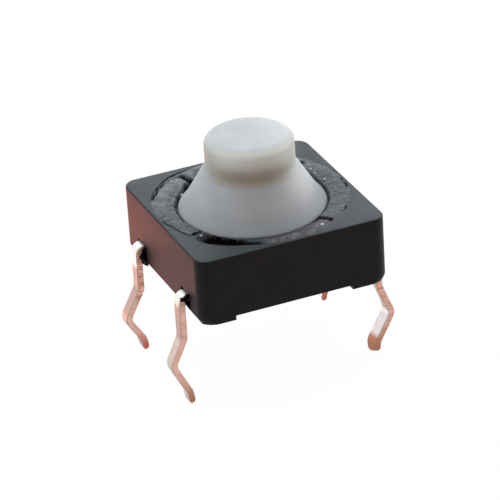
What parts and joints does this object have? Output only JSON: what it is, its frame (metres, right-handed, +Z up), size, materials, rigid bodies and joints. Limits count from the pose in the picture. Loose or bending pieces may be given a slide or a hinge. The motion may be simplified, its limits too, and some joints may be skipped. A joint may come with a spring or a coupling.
{
  "type": "tactile push button switch",
  "caption": "Square through-hole tactile switch with a grey silicone dome button, a black moulded housing and kinked copper legs.",
  "frame": {"origin": "centre of the footprint in the plane of the housing's feet, which is the top face of the board the switch is fitted to", "axes": "+X from one terminal face of the housing to the other, +Y along the terminal faces, +Z up through the button"},
  "size_m": [0.0097, 0.008, 0.0097],
  "materials": {
    "housing_plastic": "fine eroded matte black, crushed and pale along the staked lip",
    "silicone": "pale grey translucent silicone, soft satin",
    "carbon_rubber": "black conductive silicone",
    "terminal_metal": "phosphor bronze with a thin bright plating on the rolled faces, bare and ribbed on the sheared edges"
  },
  "bodies": {
    "base": {"housing": "housing_plastic", "front_terminal": "terminal_metal", "rear_terminal": "terminal_metal"},
    "button": {"dome_key": "silicone", "contact_pill": "carbon_rubber"}
  },
  "joints": [
    {"name": "button_press", "type": "slide", "parent": "base", "child": "button", "axis": [0, 0, -1], "range_m": [0, 0.0009], "stiffness_N_per_m": 1700, "deforming": ["dome_key"]}
  ]
}
